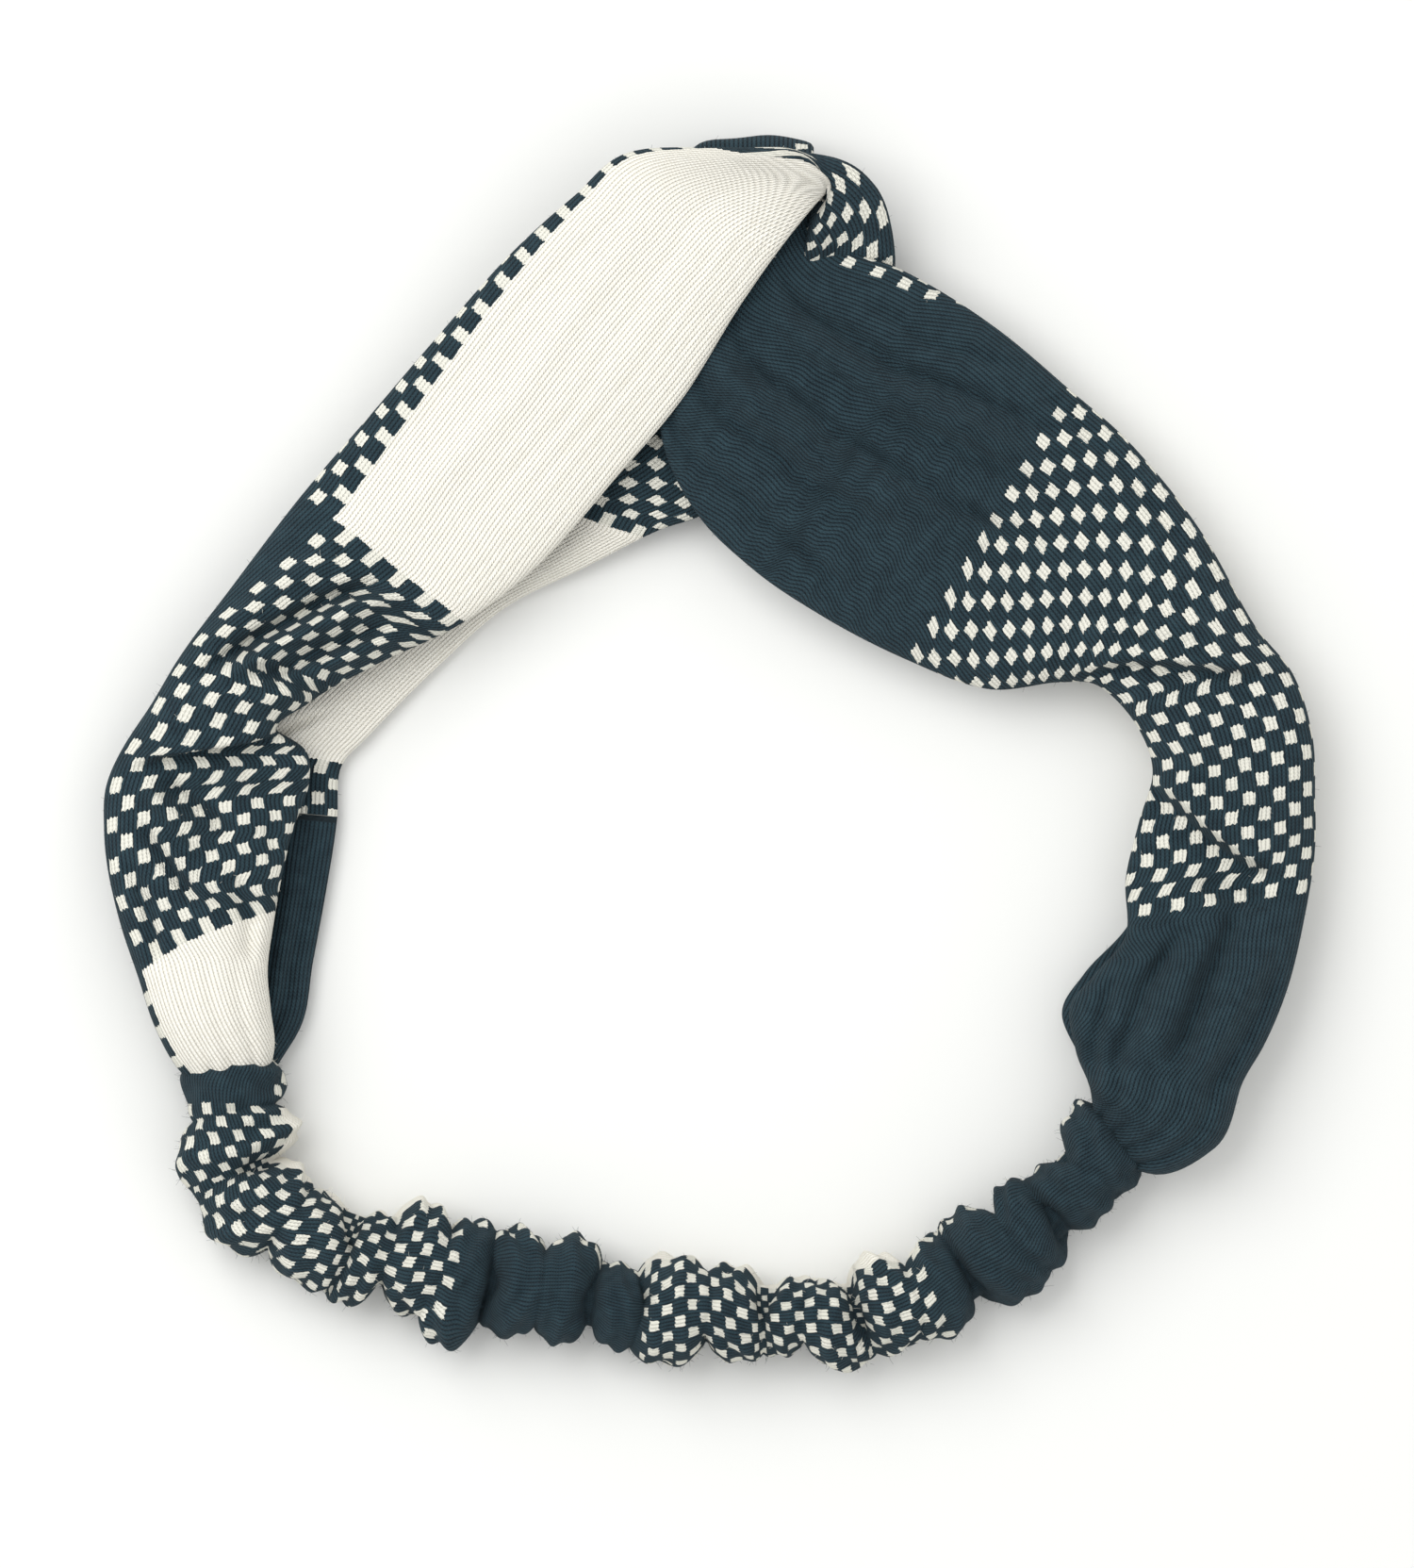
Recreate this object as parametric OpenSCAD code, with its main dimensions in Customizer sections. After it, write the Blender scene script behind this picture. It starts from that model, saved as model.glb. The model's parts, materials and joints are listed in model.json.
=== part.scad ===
// Knotted headband, lying flat: two knitted straps, each folded into a hairpin and hooked
// through the other, joined at the back by a gathered casing over a flat elastic.
// +Z is up, +Y points to the knot at the front, and the band rests on Z = 0.
// Every route is laid out from the knot's centre, then moved so that the origin is the
// middle of the band's own footprint.

/* [Knot] */
// Width of both straps where they cross in the knot
knot_w = 32; // [26:1:38]
// How far the ring can open by turning in the knot, in degrees
knot_turn = 12; // [8:1:16]

/* [Left strap] */
// Heading of the left strap as it leaves the knot
left_heading = 210; // [206:1:216]
// Turn it makes just after the knot
left_sway = 18; // [10:1:22]
// Straight run from there to the corner
left_run = 70; // [56:1:84]
// Widest flat width along the run
left_run_w = 40; // [34:1:46]
// Width around the corner
left_corner_w = 36; // [30:1:40]
// Width between the corner and the gathered end
left_end_w = 32; // [26:1:38]
// Radius of the corner's middle line
left_corner_r = 34; // [32:1:42]
// Turn made at the corner
left_turn = 52; // [44:1:60]
// Straight run from the corner to the gathered end
left_tail = 28; // [23:1:34]

/* [Right strap] */
// Heading of the right strap as it leaves the knot
right_heading = -56; // [-62:1:-50]
// Turn it makes just after the knot
right_sway = 14; // [8:1:20]
// Straight run from there to the corner
right_run = 65; // [52:1:78]
// Widest flat width along the run
right_run_w = 54; // [45:1:58]
// Width around the corner
right_corner_w = 34; // [28:1:36]
// Width between the corner and the gathered end
right_end_w = 34; // [28:1:37]
// Radius of the corner's middle line
right_corner_r = 25; // [24:1:32]
// Turn made at the corner
right_turn = 60; // [50:1:66]
// Straight run from the corner to the tuck
right_tail = 31; // [25:1:40]
// Radius of the tuck where the strap turns into the casing
right_tuck_r = 22; // [20:1:30]
// Turn made at the tuck
right_tuck_turn = 45; // [35:1:50]

/* [Fabric] */
// Thickness of one strap, a soft tube lying flat
strap_t = 4.6; // [3.8:0.1:5.6]
// Free space between two layers of the knot
layer_gap = 0.4; // [0.3:0.05:0.8]
// How far each strap's lower leg peeps out on the ring's inner side
leg_shift = 5; // [0:0.5:6]
// Thickness of the thread that closes each strap's long seam
seam_d = 0.7; // [0.5:0.1:1]

/* [Gathered ends] */
// Width of a strap's end where it is gathered
neck_w = 12; // [9:0.5:15]
// Thickness of each leg where it is gathered
neck_t = 3; // [2.4:0.1:3.6]
// Depth of the gathered end inside the casing
neck_depth = 7; // [5:0.5:10]
// Thickness of the thread that binds the gathered end
thread_d = 0.5; // [0.4:0.05:0.7]
// Turns of that thread
thread_turns = 3; // [2:1:4]

/* [Back] */
// Width of the flat elastic
elastic_w = 10; // [8:0.5:11.5]
// Thickness of the flat elastic
elastic_t = 1.2; // [1:0.1:1.6]
// Cloth of the casing between its folds
casing_wall = 1; // [0.8:0.1:1.4]
// Height of the casing's folds beyond that cloth, sideways
ruche_h = 1.8; // [1:0.1:2.4]
// Number of folds gathered along the casing
ruche_count = 17; // [12:1:22]
// Distance from the knot to the back's furthest point
back_reach = 162; // [150:1:195]
// Sideways place of that furthest point, from the knot
back_side = -7; // [-14:1:6]

/* [Hidden] */

fit_gap = 0.3;         // clearance between pieces that only touch
ring_step = 4;          // spacing of the sections along a strap
back_step = 2.5;        // spacing of the sections along the casing
sway_r = 50;            // radius of the turn each strap makes just after the knot
sway_start = 16;        // straight run from the knot's centre to that turn
bend_sections = 6;      // sections round a strap's hairpin bend
bead_sides = 6;         // sides of a seam thread
skirt = 26;             // length over which a strap narrows into its gathered end
flat_in_knot = 30;      // distance from the knot's centre over which the layers stay stacked
spread_start = 22;      // distance from the knot's centre at which a strap begins to widen
settle = 26;            // length over which a strap comes down from the knot to the surface
widest_at = 0.55;       // where a strap is widest, as a share of the way to its corner
left_bow = 0.9;         // how far the casing runs on straight from each end before it bends round,
right_bow = 0.8;        // as a share of the drop to the back's furthest point
back_bow = 0.5;         // length of the back's flat, as a share of the way from the left end to that point
ruche_rise = 0.6;       // height of the casing's folds upwards, as a share of their height sideways
turn_pitch = 2.4;       // spacing of the join threads' turns, in thread thicknesses
curve_parts = 20;       // straight pieces used to measure a curve's length

// Heights of the four layers stacked in the knot, and of what the gathered ends hold
function layer_z(i) = strap_t / 2 + i * (strap_t + layer_gap);
bend_r = strap_t + layer_gap;
function skew(turn) = abs(right_heading + 360 - left_heading + turn - 90);
knot_skew = max(skew(0), skew(knot_turn));
knot_reach = (knot_w / 2) / cos(knot_skew) + knot_w / 2 * tan(knot_skew) + layer_gap;
bundle_h = elastic_t + 2 * neck_t + 2 * fit_gap;
casing_in_w = neck_w + 2 * thread_d + 4 * fit_gap;
casing_in_h = bundle_h + 2 * thread_d + 4 * fit_gap;
casing_in_r = neck_t / 2 + thread_d + 2 * fit_gap;
ruche_z = ruche_h * ruche_rise;
back_z = casing_in_h / 2 + casing_wall + ruche_z;
neck_z = elastic_t / 2 + fit_gap + neck_t / 2;
casing_seam_d = 0.8;
seam_clear = 2;         // from a neck's tip to the end of the casing's seam

// Routes: [first heading, segments of [length, turn]], seen from above
function arc_len(r, turn) = r * turn * PI / 180;
left_route = [left_heading,
    [[sway_start, 0], [arc_len(sway_r, left_sway), left_sway], [left_run, 0],
     [arc_len(left_corner_r, left_turn), left_turn], [left_tail + neck_depth, 0]]];
right_route = [right_heading,
    [[sway_start, 0], [arc_len(sway_r, right_sway), right_sway], [right_run, 0],
     [arc_len(right_corner_r, right_turn), -right_turn], [right_tail, 0],
     [arc_len(right_tuck_r, right_tuck_turn), -right_tuck_turn], [neck_depth, 0]]];

function along(h) = [cos(h), sin(h)];
function across(h) = [-sin(h), cos(h)];
function ease(x) = let(c = max(0, min(1, x))) c * c * (3 - 2 * c);
function sum(v, i = 0) = i == len(v) ? 0 : v[i] + sum(v, i + 1);
function route_len(route) = sum([for (g = route[1]) g[0]]);

// Where a route is after s millimetres, as [point, heading]
function go(p, h, seg, s) = seg[1] == 0
    ? [p + s * along(h), h]
    : let(r = seg[0] / (seg[1] * PI / 180), a = seg[1] * s / seg[0])
      [p + r * (across(h) - across(h + a)), h + a];
function walk(p, h, segs, s, i = 0) = i == len(segs) - 1 || s <= segs[i][0]
    ? go(p, h, segs[i], s)
    : let(e = go(p, h, segs[i], segs[i][0])) walk(e[0], e[1], segs, s - segs[i][0], i + 1);
function at(route, s) = walk([0, 0], route[0], route[1], s);

// A value that eases between the pairs [s, value] of a table
function ramp(table, s, i = 0) = i == len(table) - 1
    ? table[i][1]
    : s < table[i + 1][0]
      ? table[i][1] + (table[i + 1][1] - table[i][1]) * ease((s - table[i][0]) / (table[i + 1][0] - table[i][0]))
      : ramp(table, s, i + 1);

// A strap: [route, table of widths, knot layers of its lower and upper leg, side of the ring's middle]
function widths(route, run, corner, tail) = let(
        end = neck_start(route),
        turn_in = sum([for (i = [0:2]) route[1][i][0]])) [
    [spread_start, knot_w], [turn_in * widest_at, run], [turn_in + route[1][3][0] / 2, corner],
    [end - skirt, tail], [end, neck_w]];
left_strap_data = [left_route, widths(left_route, left_run_w, left_corner_w, left_end_w), [1, 3], 1];
right_strap_data = [right_route, widths(right_route, right_run_w, right_corner_w, right_end_w), [0, 2], -1];

// One section of a strap's leg (0 lower, 1 upper): [centre, sideways, through, width, thickness]
function leg_frame(data, leg, s) = let(
        neck = neck_start(data[0]),
        place = at(data[0], s),
        side = across(place[1]),
        shift = leg == 0 ? data[3] * leg_shift * ramp([[flat_in_knot, 0], [flat_in_knot + settle, 1],
            [neck - skirt, 1], [neck, 0]], s) : 0,
        z = ramp([[flat_in_knot, layer_z(data[2][leg])], [flat_in_knot + settle, layer_z(leg)],
            [neck - skirt, layer_z(leg)], [neck, back_z + (leg == 0 ? -neck_z : neck_z)]], s),
        thick = ramp([[neck - skirt, strap_t], [neck, neck_t]], s),
        c = place[0] + shift * side)
    [[c.x, c.y, z], [side.x, side.y, 0], [0, 0, leg == 0 ? -1 : 1], ramp(data[1], s), thick];

// One section of the bend that joins the legs beyond the knot; a runs from -90 below to 90 above
function bend_frame(data, a) = let(
        h = data[0][0], d = along(h), side = across(h),
        mid = (layer_z(data[2][0]) + layer_z(data[2][1])) / 2,
        out = knot_reach + bend_r * cos(a))
    [[-d.x * out, -d.y * out, mid + bend_r * sin(a)], [side.x, side.y, 0],
     [-d.x * cos(a), -d.y * cos(a), sin(a)], knot_w, strap_t];

function steps(from, to, step) = let(n = ceil((to - from) / step)) [for (i = [0:n]) from + (to - from) * i / n];
function neck_start(route) = route_len(route) - neck_depth - fit_gap;
function strap_frames(data) = let(
        legs = concat(steps(-knot_reach, neck_start(data[0]), ring_step), [route_len(data[0])]),
        n = len(legs)) concat(
    [for (i = [n - 1:-1:0]) leg_frame(data, 0, legs[i])],
    [for (i = [1:bend_sections - 1]) bend_frame(data, -90 + 180 * i / bend_sections)],
    [for (i = [0:n - 1]) leg_frame(data, 1, legs[i])]);

// Sections and the solids swept through them
function round_ended(w, t) = concat(
    [for (a = [-90:45:90]) [w / 2 - t / 2 + t / 2 * cos(a), t / 2 * sin(a)]],
    [for (a = [90:45:270]) [-w / 2 + t / 2 + t / 2 * cos(a), t / 2 * sin(a)]]);
function rounded(w, h, r) = [for (q = [0:3]) for (a = [0:45:90]) let(x = q == 0 || q == 3 ? 1 : -1, y = q < 2 ? 1 : -1)
    [x * (w / 2 - r) + r * cos(90 * q + a), y * (h / 2 - r) + r * sin(90 * q + a)]];
function oval(w, h, n) = [for (i = [0:n - 1]) [w / 2 * cos(360 * (i + 0.5) / n), h / 2 * sin(360 * (i + 0.5) / n)]];
function placed(frame, section) = [for (q = section) frame[0] + frame[1] * q.x + frame[2] * q.y];
function flat(lists) = [for (l = lists) for (x = l) x];
function skin(rings, m, first, inward) = [for (r = [0:rings - 2]) for (i = [0:m - 1])
    let(a = first + r * m + i, b = first + r * m + (i + 1) % m, tri = [[a, b, b + m], [a, b + m, a + m]])
    for (t = tri) inward ? [t[2], t[1], t[0]] : t];

// A solid swept through rings that all have the same number of points
module sweep(rings) {
    m = len(rings[0]);
    n = len(rings);
    polyhedron(flat(rings), concat(skin(n, m, 0, false),
        [[for (i = [m - 1:-1:0]) i], [for (i = [0:m - 1]) (n - 1) * m + i]]));
}
// The same with a channel through it
module hollow_sweep(outer, inner) {
    m = len(outer[0]);
    n = len(outer);
    hole = n * m;
    last = (n - 1) * m;
    polyhedron(flat(concat(outer, inner)), concat(skin(n, m, 0, false), skin(n, m, hole, true),
        [for (i = [0:m - 1]) let(j = (i + 1) % m) for (t = [[i, hole + i, hole + j], [i, hole + j, j]]) t],
        [for (i = [0:m - 1]) let(j = (i + 1) % m, a = last + i, b = last + j)
            for (t = [[a, b, hole + b], [a, hole + b, hole + a]]) t]));
}

function strap_rings(data) = [for (f = strap_frames(data)) placed(f, round_ended(f[3], f[4]))];
// The seam lies against the strap's edge on the ring's inner side
function seam_rings(data) = let(frames = strap_frames(data), away = data[3] * (seam_d / 2 + fit_gap)) [
    for (f = frames) if (norm([f[0].x, f[0].y] - at(data[0], route_len(data[0]))[0]) > neck_depth + skirt)
        placed([f[0] + f[1] * (data[3] * f[3] / 2 + away), f[1], f[2]], oval(seam_d, seam_d, bead_sides))];

// The back's route: two cubic curves from the left end to the furthest point and on to the right end
left_end = at(left_route, route_len(left_route) - neck_depth);
right_end = at(right_route, route_len(right_route) - neck_depth);
back_point = [back_side, -back_reach];
// Beyond each neck's tip the casing bends round the back; alongside the neck it's straight
function tip(end) = end[0] + neck_depth * along(end[1]);
left_tip = tip(left_end);
right_tip = tip(right_end);
left_pull = (left_tip.y - back_point.y) * left_bow;
right_pull = (right_tip.y - back_point.y) * right_bow;
flat_pull = (back_point.x - left_tip.x) * back_bow;
back_curves = [
    [left_tip, left_tip + left_pull * along(left_end[1]), back_point - [flat_pull, 0], back_point],
    [back_point, back_point + [right_pull, 0], right_tip + right_pull * along(right_end[1]), right_tip]];
function cubic(c, t) = pow(1 - t, 3) * c[0] + 3 * t * pow(1 - t, 2) * c[1] + 3 * t * t * (1 - t) * c[2] + pow(t, 3) * c[3];
function slope(c, t) = pow(1 - t, 2) * (c[1] - c[0]) + 2 * t * (1 - t) * (c[2] - c[1]) + t * t * (c[3] - c[2]);
function cubic_len(c) = sum([for (i = [0:curve_parts - 1])
    norm(cubic(c, (i + 1) / curve_parts) - cubic(c, i / curve_parts))]);
curve_lens = [for (c = back_curves) cubic_len(c)];
back_len = sum(curve_lens);
casing_len = back_len + 2 * neck_depth;
// u runs from 0 at the left neck's tip to 1 at the right neck's tip
function back_at(u) = let(share = curve_lens[0] / back_len, i = u < share ? 0 : 1,
        t = i == 0 ? u / share : (u - share) / (1 - share), d = slope(back_curves[i], t))
    [cubic(back_curves[i], t), atan2(d.y, d.x)];
function back_frame(p) = let(side = across(p[1])) [[p[0].x, p[0].y, back_z], [side.x, side.y, 0], [0, 0, 1]];
// s runs along the whole casing, from the left end to the right end
function casing_at(s) =
    s < neck_depth ? [left_end[0] + s * along(left_end[1]), left_end[1]] :
    s > neck_depth + back_len ? [right_end[0] + (casing_len - s) * along(right_end[1]), right_end[1] + 180] :
    back_at((s - neck_depth) / back_len);
function casing_frame(s) = back_frame(casing_at(s));
casing_places = steps(0, casing_len, back_step);
function fold(u) = (1 - cos(360 * ruche_count * u)) / 2;

casing_frames = [for (s = casing_places) casing_frame(s)];
casing_outer = [for (i = [0:len(casing_places) - 1]) let(k = fold(casing_places[i] / casing_len)) placed(casing_frames[i],
    rounded(casing_in_w + 2 * (casing_wall + ruche_h * k), casing_in_h + 2 * (casing_wall + ruche_z * k),
        casing_in_r + casing_wall + ruche_z * k))];
casing_inner = [for (f = casing_frames) placed(f, rounded(casing_in_w, casing_in_h, casing_in_r))];

// The middle of the footprint, so that the origin sits under the band's centre
footprint = flat(concat(strap_rings(left_strap_data), strap_rings(right_strap_data), casing_outer,
    seam_rings(left_strap_data), seam_rings(right_strap_data)));
function mid(k) = (min([for (p = footprint) p[k]]) + max([for (p = footprint) p[k]])) / 2;
to_origin = [-mid(0), -mid(1), 0];

module left_strap() color("ivory") translate(to_origin) sweep(strap_rings(left_strap_data));
module right_strap() color("#1c2733") translate(to_origin) sweep(strap_rings(right_strap_data));
module left_strap_seam() color("white") translate(to_origin) sweep(seam_rings(left_strap_data));
module right_strap_seam() color("#26323f") translate(to_origin) sweep(seam_rings(right_strap_data));
module elastic_casing() color("#1c2733") translate(to_origin) hollow_sweep(casing_outer, casing_inner);

// The seam of the casing runs inside it, under the elastic
module casing_seam() color("#26323f") translate(to_origin) {
    drop = (casing_in_h - casing_seam_d) / 2 - fit_gap - casing_wall / 2;
    clear = neck_depth + seam_clear;
    sweep([for (s = steps(clear, casing_len - clear, 2 * back_step)) let(f = casing_frame(s))
        placed([f[0] - [0, 0, drop], f[1], f[2]], oval(casing_seam_d, casing_seam_d, bead_sides))]);
}

// The elastic reaches between the two legs of each neck
module elastic_band() color("whitesmoke") translate(to_origin) {
    tape = [[-1, -1], [1, -1], [1, 1], [-1, 1]];
    sweep([for (s = steps(fit_gap, casing_len - fit_gap, 1.5 * back_step))
        placed(casing_frame(s), [for (q = tape) [q.x * elastic_w / 2, q.y * elastic_t / 2]])]);
}

// Turns of thread round one gathered end, with the stitch that ties them together
module join_thread(end) {
    pitch = turn_pitch * thread_d;
    first = (neck_depth - pitch * (thread_turns - 1) - thread_d) / 2;
    lead = end[0] + first * along(end[1]);
    translate([lead.x, lead.y, back_z + bundle_h / 2 + fit_gap + thread_d / 4]) rotate([0, 0, end[1]])
        translate([0, -thread_d / 2, 0]) cube([pitch * (thread_turns - 1) + thread_d, thread_d, thread_d]);
    for (i = [0:thread_turns - 1]) {
        p = end[0] + (first + i * pitch) * along(end[1]);
        translate([p.x, p.y, back_z]) rotate([90, 0, end[1] + 90]) linear_extrude(thread_d) difference() {
            polygon(rounded(neck_w + 2 * (thread_d + fit_gap), bundle_h + 2 * (thread_d + fit_gap),
                neck_t / 2 + thread_d + fit_gap));
            polygon(rounded(neck_w + 2 * fit_gap, bundle_h + 2 * fit_gap, neck_t / 2 + fit_gap));
        }
    }
}
module left_join_thread() color("#26323f") translate(to_origin) join_thread(left_end);
module right_join_thread() color("#26323f") translate(to_origin) join_thread(right_end);

left_strap();
right_strap();
left_strap_seam();
right_strap_seam();
elastic_casing();
casing_seam();
elastic_band();
left_join_thread();
right_join_thread();
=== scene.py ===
"""Knotted headband lying flat: two jacquard-knit straps hooked through each other, and a ruched elastic casing."""
import json
import math

import bmesh
import bpy
import numpy as np
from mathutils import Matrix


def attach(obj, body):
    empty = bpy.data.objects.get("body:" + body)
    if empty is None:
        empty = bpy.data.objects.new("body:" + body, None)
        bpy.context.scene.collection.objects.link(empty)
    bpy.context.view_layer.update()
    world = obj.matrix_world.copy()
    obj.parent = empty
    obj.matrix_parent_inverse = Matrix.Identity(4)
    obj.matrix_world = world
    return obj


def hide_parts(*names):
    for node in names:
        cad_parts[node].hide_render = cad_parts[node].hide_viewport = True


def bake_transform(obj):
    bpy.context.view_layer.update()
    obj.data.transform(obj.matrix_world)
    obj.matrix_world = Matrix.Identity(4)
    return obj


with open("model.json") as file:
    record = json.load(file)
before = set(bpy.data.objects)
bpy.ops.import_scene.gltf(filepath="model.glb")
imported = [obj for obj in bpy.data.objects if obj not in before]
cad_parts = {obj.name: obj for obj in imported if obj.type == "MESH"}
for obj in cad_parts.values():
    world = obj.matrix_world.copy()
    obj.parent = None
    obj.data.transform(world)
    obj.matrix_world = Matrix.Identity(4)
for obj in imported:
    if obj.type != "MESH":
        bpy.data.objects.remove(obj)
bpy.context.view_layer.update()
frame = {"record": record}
joint = frame["record"]["behaviour"]["joints"][0]
knot = np.array(joint["pos_m"])

MM = 0.001
CLOTH_LIFT = 0.1    # how far cloth stays above the floor, in millimetres

# Sizes of the knit, in millimetres
CHECK = 2.67        # one cell of the check
CHECK_MARGIN = 0.34 # how far dark yarn spreads over each light square
WALE = 0.72         # spacing of the knit's columns
COURSE = 0.56       # spacing of its rows
STEP = 0.6          # spacing of the mesh's sections along the cloth
ACROSS = 64         # points on one face of a strap's section
HEM_LINES = (2.2, 3.9, 5.6)     # hem lines, from a strap's inner edge
HEM_DEPTH = 0.3

# ---------------------------------------------------------------------------------------------
# Routes, in millimetres from the knot's centre. Each row is one section of a strap:
# outer edge x, y, inner edge x, y, height of its middle above the floor, thickness.
# ---------------------------------------------------------------------------------------------
LEFT_STRAP = [
    (-84.5, -129.5, -78, -130, 7, 5), (-87, -125.5, -76.5, -125, 8, 7), (-90.5, -122, -75, -119.5, 9.5, 10),
    (-94, -115.5, -75.5, -113, 10.5, 12), (-96.5, -108, -76, -107, 10.5, 12), (-99.5, -99, -75, -99, 10, 10),
    (-102, -84.5, -72, -84.5, 9, 8), (-101.5, -77, -69.5, -77, 8.5, 7), (-99, -71.5, -70, -72, 8.5, 7.5),
    (-95, -65.5, -74.5, -69, 10, 8.5), (-90.3, -57.7, -69.5, -64.5, 10.5, 9), (-81.8, -46.2, -59, -58.5, 10.5, 8.5),
    (-71, -32, -45.5, -52, 10, 8), (-59.7, -18.8, -33.5, -43, 10.5, 8), (-48.6, -5.9, -20.5, -28.5, 12, 7.5),
    (-37.5, 6.5, -10, -16, 14.5, 7), (-27.5, 15.5, -1, -1.5, 17, 6.5), (-18.5, 22.5, 6.5, 9, 18.5, 6),
    # the turn round the right strap's edge
    (-8, 23.2, 11.5, 15, 19, 6), (4, 22.8, 13, 16, 18.5, 6.5), (14, 21.6, 10.5, 12, 17, 5.5),
    (20, 17.6, 9, 7, 14.5, 5), (22.8, 11, 7, 4, 11, 4.5), (23.4, 4, 6, 3, 8.5, 4),
    # the lower leg, back to the gathered end
    (19, -6.5, -0.5, 2.5, 7.2, 4), (6.5, -21.5, -13, -9.5, 6.8, 4), (-7, -34.5, -26, -21, 6, 4),
    (-14, -37, -35, -28.5, 5, 4), (-26, -43, -47, -36.5, 3.6, 4.5), (-38, -49, -59, -42.5, 2.8, 4.5),
    (-48.5, -58, -71, -53, 2.6, 4.5), (-60.5, -70, -83.5, -63, 2.6, 4.5), (-64.5, -74.5, -92, -69.5, 2.6, 4.5),
    (-65.2, -83, -96.5, -80, 2.6, 4.5), (-66.8, -93.5, -97, -93.5, 2.6, 4.5), (-69, -105.5, -94, -105.5, 2.8, 4.5),
    (-71, -116, -91, -116, 3.4, 5), (-74, -121, -88.5, -122, 4.2, 5), (-76.5, -125, -86.5, -126, 5.4, 4),
    (-78, -129.5, -84.5, -130, 6.2, 3)]
RIGHT_STRAP = [
    (61, -137.5, 56, -131.5, 7.5, 5), (64.5, -139, 55, -127.5, 8.5, 8), (74, -135, 54, -124.5, 10, 12),
    (78.6, -124.3, 52, -119.5, 10.5, 12), (81.9, -118.6, 51, -113, 10.5, 11), (85.5, -110, 55, -107.5, 10, 10),
    (88.5, -97.5, 60, -101, 9.5, 9), (90, -87.5, 60, -92, 9, 8.5), (90, -80, 62, -83.5, 9.5, 8.5),
    (89.5, -69.5, 64.2, -75, 10, 8.5), (86.5, -60, 61.5, -67.8, 10.5, 9), (80.4, -52.2, 56, -62, 10.5, 9.5),
    (72.3, -37.9, 49.5, -61.2, 10, 9.5), (61.7, -24.4, 38.5, -62.3, 9.5, 9), (50.6, -14.4, 25, -57.5, 9.5, 8.5),
    (40, -5.5, 11.5, -50.5, 10, 8), (31, 0.5, 0.5, -43, 11, 7), (23.5, 4.5, -8, -34.5, 12, 6),
    (15.5, 7.5, -13.5, -23, 12.3, 5), (11.5, 12, -14, -11, 12.3, 5), (10.5, 18, -12, 2.5, 12, 5),
    # the bend beyond the left strap's lower leg
    (10.5, 22.5, -10, 15, 11, 4.5), (10.5, 23.6, -9, 22.6, 7.3, 4.5), (10, 22.5, -10, 15, 3.4, 4.5),
    # the lower leg, back to the gathered end
    (10.5, 16, -12, 2.5, 2.4, 4.5), (14, 4, -11.5, -12.5, 2.4, 4.5), (23, -3.5, -7, -29, 2.4, 4.5),
    (37, -10.5, 2.5, -43, 2.4, 4.5), (49, -19.5, 16, -52, 2.4, 4.5), (59.5, -30, 29.5, -57, 2.4, 4.5),
    (69.5, -39.5, 43, -56.5, 2.4, 4.5), (79, -51.5, 58, -56.5, 2.4, 4.5), (85.5, -63.5, 68, -66.5, 2.4, 4.5),
    (87.5, -75.5, 69, -77, 2.4, 4.5), (87, -87.5, 66, -89.5, 2.4, 4.5), (85, -101, 60, -100.5, 2.4, 4.5),
    (81.5, -111.5, 53.5, -107.5, 2.6, 4.5), (77.5, -120.5, 50, -114, 3, 5), (72.5, -128, 53.5, -122, 4, 5),
    (65, -135, 55, -127.5, 5.2, 4), (61, -136.5, 56.5, -131.5, 6, 3)]
CASING_ROUTE = [
    (-81.5, -120.5), (-82, -130), (-79.5, -139), (-73, -146), (-63.5, -150), (-53, -153.3), (-41, -155.7),
    (-29, -157.7), (-17, -160), (-5, -161.3), (7, -161.5), (17.5, -161), (26.5, -158.5), (35.5, -154),
    (43.5, -148.8), (50, -142.8), (55.5, -137), (60, -132.5)]


def spline(rows, knots, at):
    """A smooth curve through rows. knots are the rows' places along it, and at the places wanted."""
    rows, knots = np.asarray(rows, float), np.asarray(knots, float)
    slopes = np.gradient(rows, knots, axis=0)
    i = np.clip(np.searchsorted(knots, at, side="right") - 1, 0, len(knots) - 2)
    gap = (knots[i + 1] - knots[i])[:, None]
    t = ((at - knots[i])[:, None]) / gap
    return ((2 * t**3 - 3 * t**2 + 1) * rows[i] + (t**3 - 2 * t**2 + t) * gap * slopes[i]
            + (3 * t**2 - 2 * t**3) * rows[i + 1] + (t**3 - t**2) * gap * slopes[i + 1])


def lengths(points):
    """Each point's distance along the line through all of them."""
    return np.concatenate([[0], np.cumsum(np.linalg.norm(np.diff(points, axis=0), axis=1))])


def ease(x):
    """0 below 0, 1 above 1, and smooth between."""
    x = np.clip(x, 0, 1)
    return x * x * (3 - 2 * x)


def unit(v):
    """Each vector at length 1."""
    return v / np.maximum(np.linalg.norm(v, axis=-1, keepdims=True), 1e-9)


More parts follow.
